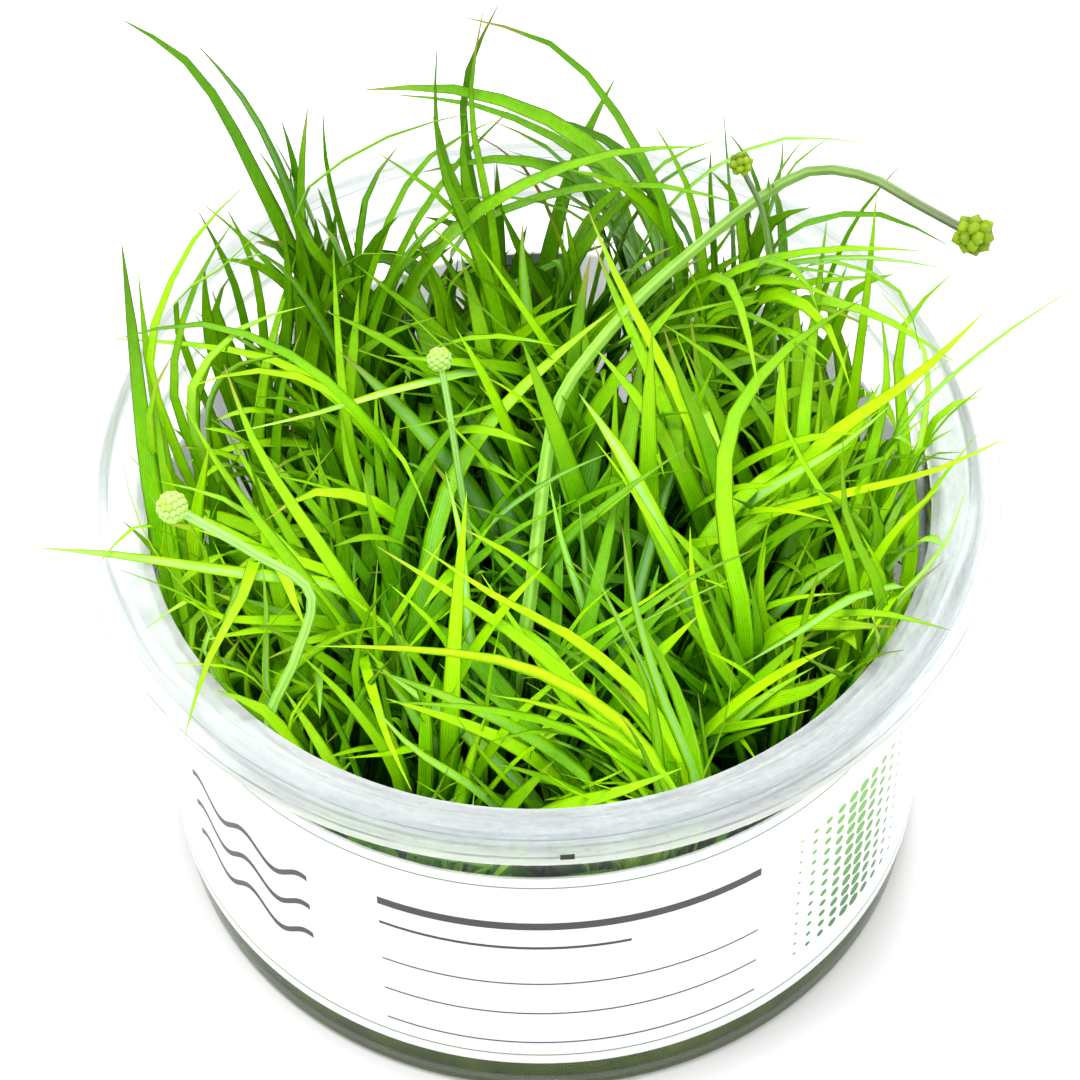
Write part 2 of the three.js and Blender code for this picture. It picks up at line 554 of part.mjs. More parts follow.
// A flower stalk is a thin stem that comes up between two crowns, with a button head on its end.
function addFlower(name, { stalk, head }) {
  const [nearest, next] = crownsUnder(stalk);
  const foot = crowns[nearest].clone().lerp(crowns[next], 0.5);
  const rise = foot.clone().setZ(foot.z + SHEATH_RISE);
  const curve = shownCurve(stalk, [foot, rise], 0);
  const section = new THREE.Shape();
  for (let side = 0; side < STALK_SIDES; side += 1) {
    const angle = (side / STALK_SIDES) * 2 * Math.PI;
    const corner = [Math.cos(angle) * stalk.wide / 2, Math.sin(angle) * stalk.wide / 2];
    if (side === 0) section.moveTo(...corner);
    else section.lineTo(...corner);
  }
  const steps = Math.round(curve.getLength() / STALK_STEP);
  const stem = new THREE.ExtrudeGeometry(section, { steps, extrudePath: curve, bevelEnabled: false });
  addPiece(`flower_stalk_${name}`, stem, STALK);
  place(solidOf(stem), `flower_stalk_${name}`);

  const button = new THREE.IcosahedronGeometry(head / 2, 1);
  const end = curve.getPointAt(1);
  end.addScaledVector(curve.getTangentAt(1), head / 2 + GAP);
  button.translate(end.x, end.y, end.z);
  addPiece(`flower_head_${name}`, button, BUD);
  place(solidOf(button), `flower_head_${name}`);
}

for (const [name, flower] of Object.entries(FLOWERS)) addFlower(name, flower);

// A repeatable random number from 0 to 1, and a value that strays from its mean by a share of it.
const RANDOM_MODULUS = 2147483647;
const RANDOM_FACTOR = 16807;
const SEED_STEP = 7919;

function randomFrom(seed) {
  let state = (seed + 1) * SEED_STEP;
  return () => {
    state = (state * RANDOM_FACTOR) % RANDOM_MODULUS;
    return state / RANDOM_MODULUS;
  };
}

const strayed = (mean, share, random) => mean * (1 + share * (random() - 0.5));

// The widest of the leaves that show are placed first.
const SHOWN_LEAVES = [
  ...BACK_LEFT_LEAVES, ...BACK_LEAVES, ...BACK_RIGHT_LEAVES, ...RIGHT_LEAVES, ...LEFT_LEAVES, ...FRONT_LEAVES,
].sort((a, b) => b.wide - a.wide);

SHOWN_LEAVES.forEach((leaf, i) => {
  const twist = (randomFrom(i)() - 0.5) * TWIST;
  const { x, y } = seenAt(leaf.path[0], leaf.from);
  const fits = (owner) => {
    const { crown } = plants[owner];
    const face = freeFace(plants[owner], Math.atan2(y - crown.y, x - crown.x));
    if (face === undefined) return false;
    const first = sheathPoints(crown, face);
    return LIFTS.some((lift) => grow(owner, face, shownCurve(leaf, first, lift), leaf.wide, twist));
  };
  crownsUnder(leaf).some(fits);
});

// The cup holds a leaf in until it is above the rim.
function heldIn(point) {
  if (point.z > RIM_HEIGHT + WALL_ROOM) return;
  const inside = point.z > LEDGE_HEIGHT + WALL_ROOM ? COLLAR_RADIUS : wallRadius(point.z) - WALL;
  const radius = Math.hypot(point.x, point.y);
  const share = Math.min(1, (inside - WALL_ROOM) / radius);
  point.x *= share;
  point.y *= share;
}

// A hidden leaf leans out of its crown and bends over towards its tip.
function hiddenCurve(first, heading, size, random) {
  const part = strayed(HIDDEN_LENGTH * size, SIZE_SPREAD, random) / HIDDEN_PARTS;
  const lean = strayed(HIDDEN_LEAN, LEAN_SPREAD, random);
  const bend = strayed(HIDDEN_BEND, BEND_SPREAD, random);
  const sweep = HIDDEN_SWEEP * (random() - 0.5);
  const tip = first.at(-1).clone();
  const points = [...first];
  for (let i = 1; i <= HIDDEN_PARTS; i += 1) {
    const share = i / HIDDEN_PARTS;
    const tilt = lean + bend * share * share;
    const turn = heading + sweep * share;
    tip.x += Math.cos(turn) * Math.sin(tilt) * part;
    tip.y += Math.sin(turn) * Math.sin(tilt) * part;
    tip.z += Math.cos(tilt) * part;
    heldIn(tip);
    points.push(tip.clone());
  }
  return new THREE.CatmullRomCurve3(points, false, "centripetal");
}

const random = randomFrom(1);
for (let round = 0; round < HIDDEN_ROUNDS; round += 1) {
  const size = 1 - HIDDEN_SHRINK * round / HIDDEN_ROUNDS;
  plants.forEach((plant, owner) => {
    if (plant.leaves.size >= LEAVES_A_PLANT) return;
    const face = freeFace(plant, (round + random()) * GOLDEN_ANGLE);
    const curve = hiddenCurve(sheathPoints(plant.crown, face), rimAngle(face + 0.5), size, random);
    const wide = strayed(HIDDEN_WIDTH * size, SIZE_SPREAD, random);
    grow(owner, face, curve, wide, TWIST * (random() - 0.5));
  });
}

// A plant is one solid: its crown's underside, its bare faces and its leaves.
plants.forEach(({ crown, leaves }, i) => {
  const faces = [];
  for (let face = 0; face < CROWN_FACES; face += 1) {
    const underside = [rimCorner(crown, 0), rimCorner(crown, face + 1), rimCorner(crown, face)];
    if (face > 0 && face < CROWN_FACES - 1) faces.push(underside);
    if (leaves.has(face)) faces.push(...tubeFaces(leaves.get(face)));
    else faces.push(footRing(crown, face));
  }
  addPiece(`plant_${String(i + 1).padStart(2, "0")}`, geometryFrom(faces), LEAF);
});

export default scene;
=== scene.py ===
# Tissue-culture pot of dwarf pipewort (Eriocaulon cinereum): a clear cup with a paper band, a bed of
# culture gel, and a thick tuft of grassy plants with a few button-shaped flower heads. Metres, +Z up.

import math

import bmesh
import bpy
import numpy as np
from mathutils import Matrix, Vector


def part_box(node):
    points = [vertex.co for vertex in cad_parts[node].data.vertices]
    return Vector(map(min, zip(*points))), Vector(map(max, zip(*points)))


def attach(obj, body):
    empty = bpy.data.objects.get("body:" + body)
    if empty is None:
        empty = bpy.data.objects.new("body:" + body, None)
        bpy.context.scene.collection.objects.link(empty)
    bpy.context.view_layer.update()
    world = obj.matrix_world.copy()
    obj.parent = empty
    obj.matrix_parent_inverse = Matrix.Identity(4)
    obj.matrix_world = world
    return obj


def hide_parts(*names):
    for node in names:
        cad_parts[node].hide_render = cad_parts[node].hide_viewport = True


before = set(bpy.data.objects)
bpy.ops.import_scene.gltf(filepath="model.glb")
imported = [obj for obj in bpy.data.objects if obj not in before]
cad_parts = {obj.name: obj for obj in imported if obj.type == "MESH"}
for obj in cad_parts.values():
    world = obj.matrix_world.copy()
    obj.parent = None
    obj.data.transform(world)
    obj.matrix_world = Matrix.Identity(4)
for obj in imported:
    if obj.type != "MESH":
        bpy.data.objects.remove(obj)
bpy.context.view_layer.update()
MM = 0.001


# The camera looks down on the tuft from in front of the cup, through a long lens. It is held a little off
# level. Its tilt and roll are in radians.
CAMERA_EYE = Vector((0, -324.9, 451.3)) * MM
CAMERA_TILT = 0.906
CAMERA_ROLL = -0.025
CAMERA_LENS = 201.7
NEAREST_SEEN = 20 * MM

ahead = Vector((0, math.cos(CAMERA_TILT), -math.sin(CAMERA_TILT)))
level = Vector((1, 0, 0))
upright = level.cross(ahead)
to_right = math.cos(CAMERA_ROLL) * level + math.sin(CAMERA_ROLL) * upright
to_top = math.cos(CAMERA_ROLL) * upright - math.sin(CAMERA_ROLL) * level
facing = Matrix((to_right, to_top, -ahead)).transposed().to_4x4()
bpy.ops.object.camera_add()
camera = bpy.context.object
camera.name = "camera"
camera.matrix_world = Matrix.Translation(CAMERA_EYE) @ facing
camera.data.lens = CAMERA_LENS
camera.data.clip_start = NEAREST_SEEN
bpy.context.scene.camera = camera


# Cup: one thin moulding of clear plastic. Its wall leans out a little, a ledge carries the lid's edge, and
# outside the upstanding collar a skirt slopes down to a rolled foot. The skirt is milky with fine scratches.
CUP_SIDES = 144
CUP_OUTLINE = [
    (12, 0.35), (28, 0.35), (29.5, 0), (32.2, 0), (32.75, 0.22), (33.03, 0.8), (33.06, 1.5), (33.4, 10.5),
    (33.47, 11.2), (34.45, 41.5), (34.58, 43.2), (34.95, 43.6), (37.2, 43.62), (37.6, 43.9), (37.7, 44.4),
    (37.7, 45.9), (38.0, 45.85), (38.55, 45.3), (39.4, 44.4), (39.55, 44.28), (39.85, 44.35), (40, 44.7),
    (39.9, 44.95), (39.2, 45.75), (38.95, 45.85), (38.45, 46.5), (38.0, 47.05), (37.65, 47.27), (37.3, 47.3),
    (37.05, 47.15), (37, 46.8), (37, 44.6), (36.85, 44.38), (36.5, 44.3), (34.4, 44.3), (33.98, 44.15),
    (33.85, 43.6), (33.3, 28), (32.72, 11.6), (32.6, 10.6), (32.34, 2.8), (32.32, 2.2), (32.0, 1.35),
    (31.4, 1.02), (12, 1.02),
]
CUP_CREASE = math.radians(50)
PLASTIC_IOR = 1.22
PLASTIC_ROUGHNESS = (0.06, 0.34)
PLASTIC_SHINE = 0.3
CLEARNESS = 0.99

# Where each look of the plastic begins or ends: heights, distances from the axis, and places across.
SKIRT_BEGINS = (42.6 * MM, 43.7 * MM)
FOOT_ENDS = (1.2 * MM, 2.6 * MM)
LEDGE_ENDS = (36.6 * MM, 37 * MM)
LIP_BEGINS = (39.5 * MM, 39.9 * MM)
LOW_SKIRT_ENDS = (45.3 * MM, 45.9 * MM)
SKIRT_FACE_BEGINS = (37.7 * MM, 38.1 * MM)
# Painted light: the skirt is given a lighter milk towards its left and its back.
LIT_LEFT = (-32 * MM, -8 * MM)
LIT_BACK = (-6 * MM, 14 * MM)
LOW_MOULD_LINE = (45.18 * MM, 0.07 * MM)
TOP_MOULD_LINE = (46.22 * MM, 0.05 * MM)
SMUDGE_ACROSS = (1.6 * MM, 0.6 * MM)
SMUDGE_UP = (45.2 * MM, 0.16 * MM)
SMUDGE_FACE = -39 * MM

# How milky each place is, how fine its marks are, and its tints.
SKIRT_HAZE = (0.2, 0.36)
LEDGE_HAZE = 0.24
FOOT_HAZE = 0.3
LIP_HAZE = 0.15
STREAKS_UP = 550
STREAKS_ROUND = 1.5
DASHES_ROUND = 8
DASH_SHARE = 0.4
LOW_MILK_SHARE = 0.95
LIT_SIDE_SHARE = 0.75
SCUFF_SHARE = 0.25
MOULD_LINE_SHARES = (0.1, 0.75)
THIN_MILK = (0.61, 0.66, 0.67, 1)
THICK_MILK = (0.76, 0.79, 0.80, 1)
LOW_MILK = (0.92, 0.95, 0.95, 1)
# The lighter milk of the painted light on the skirt's left and back.
PAINTED_LIGHT_MILK = (0.88, 0.91, 0.91, 1)
DARK_DASH = (0.46, 0.51, 0.53, 1)
PALE_SCRATCH = (0.90, 0.93, 0.93, 1)
LIP_TINT = (0.86, 0.89, 0.83, 1)
MOULD_LINE_TINT = (0.26, 0.30, 0.30, 1)
WALL_TINT = (0.95, 0.985, 0.97, 1)
FOOT_TINT = (0.15, 0.21, 0.05, 1)
SMUDGE_TINT = (0.03, 0.03, 0.03, 1)


def raised(name, outline, sides):
    """A round wall drawn up ring by ring from its first circle, and closed at both ends."""
    bpy.ops.object.select_all(action="DESELECT")
    (radius, height), *rest = outline
    bpy.ops.mesh.primitive_circle_add(vertices=sides, radius=radius * MM, location=(0, 0, height * MM))
    piece = bpy.context.object
    piece.name = piece.data.name = name
    bpy.ops.object.transform_apply(location=True, rotation=False, scale=False)
    bpy.ops.object.mode_set(mode="EDIT")
    bpy.ops.mesh.edge_face_add()
    bpy.ops.mesh.select_mode(type="EDGE")
    bpy.ops.mesh.select_all(action="SELECT")
    bpy.ops.mesh.region_to_loop()
    for next_radius, next_height in rest:
        bpy.ops.mesh.extrude_edges_move(
            TRANSFORM_OT_translate={"value": (0, 0, (next_height - height) * MM)})
        grown = next_radius / radius
        bpy.ops.transform.resize(value=(grown, grown, 1), center_override=(0, 0, 0))
        radius, height = next_radius, next_height
    bpy.ops.mesh.edge_face_add()
    bpy.ops.mesh.select_all(action="SELECT")
    bpy.ops.mesh.normals_make_consistent(inside=False)
    bpy.ops.object.mode_set(mode="OBJECT")
    return piece


def finish_of(name, roughness, colour=(0.8, 0.8, 0.8)):
    """A new material with its shader, and short ways to add a node and to join one to the shader."""
    material = bpy.data.materials.new(name)
    material.use_nodes = True
    tree = material.node_tree
    shader = tree.nodes["Principled BSDF"]
    shader.inputs["Base Color"].default_value = (*colour, 1)
    shader.inputs["Roughness"].default_value = roughness

    def node(kind, inputs=(), **settings):
        new = tree.nodes.new(f"ShaderNode{kind}")
        for key, value in settings.items():
            setattr(new, key, value)
        for socket, value in dict(inputs).items():
            if isinstance(value, bpy.types.NodeSocket):
                tree.links.new(value, new.inputs[socket])
            else:
                new.inputs[socket].default_value = value
        return new

    def maths(operation, *values):
        return node("Math", dict(enumerate(values)), operation=operation).outputs[0]

    def mixed(share, one, other, how="MIX"):
        colours = {"Fac": share, "Color1": one, "Color2": other}
        return node("MixRGB", colours, blend_type=how).outputs["Color"]

    def ranged(value, low, high, to_low=0, to_high=1):
        ends = {"Value": value, "From Min": low, "From Max": high, "To Min": to_low, "To Max": to_high}
        return node("MapRange", ends).outputs["Result"]

    def into(socket, value):
        tree.links.new(value, shader.inputs[socket])

    return material, shader, node, maths, mixed, ranged, into


def from_axis(node, apart):
    """How far each point of a surface lies from the cup's axis."""
    flat = node("CombineXYZ", {"X": apart["X"], "Y": apart["Y"]}).outputs[0]
    return node("VectorMath", {0: flat}, operation="LENGTH").outputs["Value"]


cup = raised("cup_moulding", CUP_OUTLINE, CUP_SIDES)
bpy.ops.object.shade_smooth_by_angle(angle=CUP_CREASE)

plastic, shader, node, maths, mixed, ranged, into = finish_of("clear_plastic", 0.1)
shader.inputs["IOR"].default_value = PLASTIC_IOR
shader.inputs["Specular IOR Level"].default_value = PLASTIC_SHINE
place = node("TexCoord").outputs["Object"]
apart = node("SeparateXYZ", {"Vector": place}).outputs
radius = from_axis(node, apart)
turned = maths("ARCTAN2", apart["X"], apart["Y"])
over_and_out = maths("MULTIPLY", maths("SUBTRACT", apart["Z"], radius), STREAKS_UP)
long_marks = node("CombineXYZ", {"X": maths("MULTIPLY", turned, STREAKS_ROUND), "Y": over_and_out})
streaks = node("TexNoise", {"Vector": long_marks.outputs[0], "Scale": 5, "Detail": 6, "Roughness": 0.65})
streaks = streaks.outputs["Fac"]
short_marks = node("CombineXYZ", {"X": maths("MULTIPLY", turned, DASHES_ROUND), "Y": over_and_out})
dashes = node("TexNoise", {"Vector": short_marks.outputs[0], "Scale": 5, "Detail": 2}).outputs["Fac"]
scratch = node("TexNoise", {"Vector": place, "Scale": 500, "Detail": 4, "Roughness": 0.7}).outputs["Fac"]
scuffs = ranged(scratch, 0.62, 0.72)

skirt = ranged(apart["Z"], *SKIRT_BEGINS)
foot = ranged(apart["Z"], *FOOT_ENDS, 1, 0)
ledge = maths("MULTIPLY", skirt, ranged(radius, *LEDGE_ENDS, LEDGE_HAZE, 0))
lip = maths("MULTIPLY", skirt, ranged(radius, *LIP_BEGINS))
haze = maths("ADD", maths("MULTIPLY", skirt, ranged(streaks, 0.3, 0.7, *SKIRT_HAZE)), ledge)
low_haze = maths("ADD", maths("MULTIPLY", foot, FOOT_HAZE), maths("MULTIPLY", lip, LIP_HAZE))
into("Transmission Weight", maths("SUBTRACT", CLEARNESS, maths("ADD", haze, low_haze)))

milk = mixed(ranged(streaks, 0.35, 0.65), THIN_MILK, THICK_MILK)
skirt_face = ranged(radius, *SKIRT_FACE_BEGINS)
low_skirt = maths("MULTIPLY", ranged(apart["Z"], *LOW_SKIRT_ENDS, LOW_MILK_SHARE, 0), skirt_face)
milk = mixed(low_skirt, milk, LOW_MILK)
milk = mixed(ranged(dashes, 0.57, 0.65, 0, DASH_SHARE), milk, DARK_DASH)
milk = mixed(ranged(dashes, 0.34, 0.42, DASH_SHARE, 0), milk, PALE_SCRATCH)
# Painted light: the skirt's milk turns lighter towards its left and its back.
lit_left = ranged(apart["X"], *LIT_LEFT, LIT_SIDE_SHARE, 0)
lit_back = ranged(apart["Y"], *LIT_BACK, 0, LIT_SIDE_SHARE)
milk = mixed(maths("MAXIMUM", lit_left, lit_back), milk, PAINTED_LIGHT_MILK)
milk = mixed(lip, milk, LIP_TINT)
low_line = maths("COMPARE", apart["Z"], *LOW_MOULD_LINE)
moulded = maths("MAXIMUM", low_line, maths("COMPARE", apart["Z"], *TOP_MOULD_LINE))
moulded = maths("MULTIPLY", moulded, ranged(streaks, 0.42, 0.54, *MOULD_LINE_SHARES))
milk = mixed(moulded, milk, MOULD_LINE_TINT)
milk = mixed(maths("MULTIPLY", scuffs, SCUFF_SHARE), milk, PALE_SCRATCH)
across = maths("COMPARE", apart["X"], *SMUDGE_ACROSS)
smudge = maths("MULTIPLY", across, maths("COMPARE", apart["Z"], *SMUDGE_UP))
smudge = maths("MULTIPLY", smudge, maths("LESS_THAN", apart["Y"], SMUDGE_FACE))
wall = mixed(foot, WALL_TINT, FOOT_TINT)
into("Base Color", mixed(smudge, mixed(skirt, wall, milk), SMUDGE_TINT))
into("Roughness", maths("ADD", ranged(skirt, 0, 1, *PLASTIC_ROUGHNESS), maths("MULTIPLY", scuffs, 0.12)))
drawn = node("TexNoise", {"Vector": place, "Scale": 45, "Detail": 1}).outputs["Fac"]
ripple = node("Bump", {"Height": drawn, "Strength": 0.05, "Distance": 0.5 * MM}).outputs["Normal"]
scored = node("Bump", {"Height": scuffs, "Normal": ripple, "Strength": 0.1, "Distance": 0.03 * MM})
into("Normal", scored.outputs["Normal"])
cup.data.materials.append(plastic)
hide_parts("cup")
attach(cup, "root")


# Paper band: a strip of smooth white paper wrapped round the wall, its ends lapped and glued at the back.
# It is printed with ripples, ruled lines to write on, a block of green dots and a rule along each edge.
BAND_SIDES = 160
BAND_LOW, BAND_HIGH = 5.3, 35
WALL_AT_BASE, WALL_DRAFT = 33, 0.0365
BAND_GAP = 0.2
PAPER = 0.25
BAND_LAP = 0.14
LAP_REACH = math.radians(6)
BAND_CREASE = math.radians(40)
PRINT_RADIUS = 34.2
PAPER_SHINE = 0.2
PAPER_GLOW = 1.2 * MM

# The print, in mm along the band from its front and up from the base. Each block has its middle, its half
# length, its height and its half thickness.
RULED_LINES = [(2, 17, 27.6, 0.55), (-4, 11, 24.2, 0.2), (2, 17, 18.4, 0.11), (2, 17, 13.6, 0.11),
               (2, 17, 8.8, 0.11)]
RIPPLE_HEIGHTS = (24.5, 20, 15.5)
RIPPLE_HALF = 0.42
RIPPLE_SWELL = 1.1
RIPPLE_WAVES = 0.9
RIPPLES_ALONG = (-30, 7.85)
EDGE_RULES = (33.6, 6.7)
EDGE_RULE_HALF = 0.09
DOTS_A_MM = 0.62
DOT_BLOCK = (31, 8.06, 19.35, 9.67)
DOT_SIZES = (0.44, 0.08)
DOTS_SHRINK_OVER = 8
GREENS_CHANGE = (8, 30)
BARE_PAPER = [(0.67, 0.68, 0.69, 1), (0.71, 0.71, 0.715, 1)]
DOT_GREENS = [(0.02, 0.13, 0.04, 1), (0.16, 0.42, 0.05, 1)]
CHARCOAL = (0.045, 0.047, 0.05, 1)
RULE_GREEN = (0.10, 0.22, 0.08, 1)

bpy.ops.object.select_all(action="DESELECT")
bpy.ops.mesh.primitive_cylinder_add(vertices=BAND_SIDES, radius=1, depth=1, end_fill_type="NOTHING")
band = bpy.context.object
band.name = band.data.name = "band_paper"
for corner in band.data.vertices:
    height = BAND_LOW if corner.co.z < 0 else BAND_HIGH
    angle = math.atan2(corner.co.x, -corner.co.y)
    lapped = BAND_LAP if abs(angle) > math.pi - LAP_REACH else 0
    radius = WALL_AT_BASE + WALL_DRAFT * height + BAND_GAP + PAPER + lapped
    corner.co = Vector((radius * math.sin(angle), -radius * math.cos(angle), height)) * MM
bpy.ops.object.mode_set(mode="EDIT")
bpy.ops.mesh.select_all(action="SELECT")
bpy.ops.mesh.subdivide(number_cuts=1)
bpy.ops.object.mode_set(mode="OBJECT")
thick = band.modifiers.new("paper", "SOLIDIFY")
thick.thickness = PAPER * MM
thick.offset = -1
bpy.ops.object.modifier_apply(modifier=thick.name)
bpy.ops.object.shade_smooth_by_angle(angle=BAND_CREASE)

paper, shader, node, maths, mixed, ranged, into = finish_of("printed_paper", 0.38)
shader.inputs["Subsurface Radius"].default_value = (1, 1, 1)
shader.inputs["Subsurface Scale"].default_value = PAPER_GLOW
shader.inputs["Specular IOR Level"].default_value = PAPER_SHINE
place = node("TexCoord").outputs["Object"]
apart = node("SeparateXYZ", {"Vector": place}).outputs
turn = maths("ARCTAN2", apart["X"], maths("MULTIPLY", apart["Y"], -1))
along_band = maths("MULTIPLY", turn, PRINT_RADIUS)
up_band = maths("MULTIPLY", apart["Z"], 1 / MM)


def printed_block(middle, reach, height, tall):
    """A plain printed bar: its middle and half length along the band, its height and half thickness."""
    across = maths("COMPARE", along_band, middle, reach)
    return maths("MULTIPLY", across, maths("COMPARE", up_band, height, tall))


def off_step(value):
    """How far off the middle of its step a place is, where the print repeats."""
    return maths("SUBTRACT", maths("FRACT", maths("MULTIPLY", value, DOTS_A_MM)), 0.5)


ruled = [printed_block(*line) for line in RULED_LINES]
swell = maths("MULTIPLY", maths("SINE", maths("MULTIPLY", along_band, RIPPLE_WAVES)), RIPPLE_SWELL)
for crest in RIPPLE_HEIGHTS:
    ripple = maths("COMPARE", maths("ADD", up_band, swell), crest, RIPPLE_HALF)
    ruled.append(maths("MULTIPLY", ripple, maths("COMPARE", along_band, *RIPPLES_ALONG)))
charcoal = ruled[0]
for line in ruled[1:]:
    charcoal = maths("MAXIMUM", charcoal, line)
high_rule, low_rule = (maths("COMPARE", up_band, height, EDGE_RULE_HALF) for height in EDGE_RULES)
off_dot = maths("ADD", maths("POWER", off_step(along_band), 2), maths("POWER", off_step(up_band), 2))
off_middle = maths("ABSOLUTE", maths("SUBTRACT", along_band, DOT_BLOCK[0]))
dots = maths("LESS_THAN", maths("SQRT", off_dot), ranged(off_middle, 0, DOTS_SHRINK_OVER, *DOT_SIZES))

# Only the outer face is printed. Light comes a little way through the paper from its inner face.
off_axis = maths("MULTIPLY", from_axis(node, apart), 1 / MM)
straight = maths("SUBTRACT", off_axis, maths("MULTIPLY", up_band, WALL_DRAFT))
outer_face = maths("GREATER_THAN", straight, WALL_AT_BASE + BAND_GAP + PAPER / 2)
charcoal = maths("MULTIPLY", charcoal, outer_face)
edge_rules = maths("MULTIPLY", maths("MAXIMUM", high_rule, low_rule), outer_face)
dots = maths("MULTIPLY", maths("MULTIPLY", dots, printed_block(*DOT_BLOCK)), outer_face)
into("Subsurface Weight", maths("SUBTRACT", 1, outer_face))
cloud = node("TexNoise", {"Vector": place, "Scale": 45, "Detail": 2}).outputs["Fac"]
inked = mixed(dots, mixed(cloud, *BARE_PAPER), mixed(ranged(up_band, *GREENS_CHANGE), *DOT_GREENS))
into("Base Color", mixed(edge_rules, mixed(charcoal, inked, CHARCOAL), RULE_GREEN))
pulp = node("TexNoise", {"Vector": place, "Scale": 1400, "Detail": 4, "Roughness": 0.65}).outputs["Fac"]
tooth = node("Bump", {"Height": pulp, "Strength": 0.25, "Distance": 0.03 * MM})
into("Normal", tooth.outputs["Normal"])
band.data.materials.append(paper)
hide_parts("paper_band")
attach(band, "root")


# Culture gel: a poured bed of soft agar that the plants root in. It has set against the wall with a low
# meniscus, so its skin reaches a hair into the plastic and no air shows between the two.
GEL_SIDES = 96
GEL_OUTLINE = [
    (10, 0.95), (32.1, 0.95), (32.38, 1.15), (32.42, 2.15), (32.46, 2.8), (32.72, 10.6), (32.84, 11.6),
    (32.84, 12.05), (32.5, 11.9), (32.2, 11.75), (31.6, 11.6), (29, 11.55), (10, 11.6),
]
GEL_CREASE = math.radians(60)
GEL_SHINE = 0.05
GEL_MURK = [(0.03, 0.062, 0.001, 1), (0.085, 0.13, 0.004, 1)]
GEL_SPECKS = (0.015, 0.03, 0.001, 1)

gel = raised("gel_bed", GEL_OUTLINE, GEL_SIDES)
bpy.ops.object.shade_smooth_by_angle(angle=GEL_CREASE)

agar, shader, node, maths, mixed, ranged, into = finish_of("culture_agar", 0.12)
shader.inputs["Specular IOR Level"].default_value = GEL_SHINE
place = node("TexCoord").outputs["Object"]
clots = node("TexNoise", {"Vector": place, "Scale": 160, "Detail": 4, "Roughness": 0.6}).outputs["Fac"]
specks = node("TexVoronoi", {"Vector": place, "Scale": 420}).outputs["Distance"]
murk = mixed(ranged(clots, 0.3, 0.7), *GEL_MURK)
into("Base Color", mixed(ranged(specks, 0.05, 0.2, 0.5, 0), murk, GEL_SPECKS))
set_skin = node("Bump", {"Height": clots, "Strength": 0.3, "Distance": 0.4 * MM})
into("Normal", set_skin.outputs["Normal"])
gel.data.materials.append(agar)
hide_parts("culture_gel")
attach(gel, "root")


# Plants: each is a rosette of thin grassy leaves on one low crown. A leaf leaves its crown in a narrow
# sheath, opens into a shallow channel with fine veins along it, and ends in a point. A few have browned.
CROWN_TOP = 15.4 * MM
CROWN_RINGS = [(2.5, 12.0), (2.35, 13.2), (1.6, 14.7), (0.7, 15.3)]
CROWN_SIDES = 12
SAME_CORNER = 0.002 * MM
LEAF_RINGS = 15
RING_CROWDING = 0.95
LAST_RING = 0.99
LEAF_SECTION = np.array([(-1, 0.2), (-0.5, 0.05), (0, -0.03), (0.5, 0.05), (1, 0.2), (0, -0.24)])
LEAF_FULLNESS = 1.22
LEAST_HALF_WIDTH = 0.04 * MM
FOOT_WIDTH_SHARE = 0.8
rings_cut = np.append(np.linspace(0, 1, LEAF_RINGS + 1)[:-1] ** RING_CROWDING, LAST_RING)

# The smaller leaves between the solid's own: where between its neighbours each grows, how long it is beside
# them, its width, and how far it strays, in mm.
SMALL_LEAVES_BETWEEN = 4
SMALL_LEAF_STEPS = 9
SMALL_LEAF_SEATS = (0.1, 0.9)
SMALL_LEAF_LENGTHS = (0.55, 1.0)
SMALL_LEAF_WIDTHS = (0.8, 1.9)
SMALL_LEAF_FOOT = 0.6
SMALL_LEAF_TAPER = 4
SWAY = 1.3
SWAY_WAVES = (0.5, 1.6)
ARCH = 4.6
DROOP = 3
ARCH_GROWTH = 2.5
DROOP_GROWTH = 3
BLADE_TURN = 0.35
WALL_ROOM = 1.6 * MM
LEDGE = 43 * MM
OVER_RIM = 48.4 * MM
FAR_TIP = 35 * MM

# Browned leaves: one whose tip is at a known place, and those that pass a decayed patch.
BROWN_TIP = np.array((-5.4, 30.8, 56)) * MM
BROWN_TIP_REACH = 1.5 * MM
DECAY = np.array((23.7, -14.3, 36)) * MM
DECAY_REACH = 6 * MM
DECAY_SHARE = 0.75

# Chances: how light a leaf is, how old its tip is, and how strong its painted sheen streak is, mostly none.
FIRST_SEED = 100
LIGHTNESS = (2.2, 1.2)
TIP_AGE_POWER = 5
SHEEN_CHANCE = (-6, 0.75)
CROWN_TONE = (0.5, 0, 0, 0)


def leaves_on(solid):
    """Every leaf of a plant's solid, and the top of the crown that they stand on."""
    work = bmesh.new()
    work.from_mesh(solid.data)
    bmesh.ops.remove_doubles(work, verts=work.verts, dist=SAME_CORNER)
    low_corners = (corner.co.copy() for corner in work.verts if corner.co.z < CROWN_TOP)
    crown = max(low_corners, key=lambda co: co.z)
    leaves = []
    for tip in work.verts:
        ring = {edge.other_vert(tip) for edge in tip.link_edges}
        if len(ring) != 3 or tip.co.z < CROWN_TOP:
            continue
        seen = {tip} | ring
        rings = [ring]
        while max(corner.co.z for corner in ring) > CROWN_TOP:
            ring = {edge.other_vert(corner) for corner in ring for edge in corner.link_edges} - seen
            if len(ring) != 3:
                break
            seen |= ring
            rings.append(ring)
        places = [[np.array(corner.co) for corner in ring] for ring in reversed(rings)]
        leaves.append(leaf_from(places, np.array(tip.co)))
    work.free()
    return leaves, crown


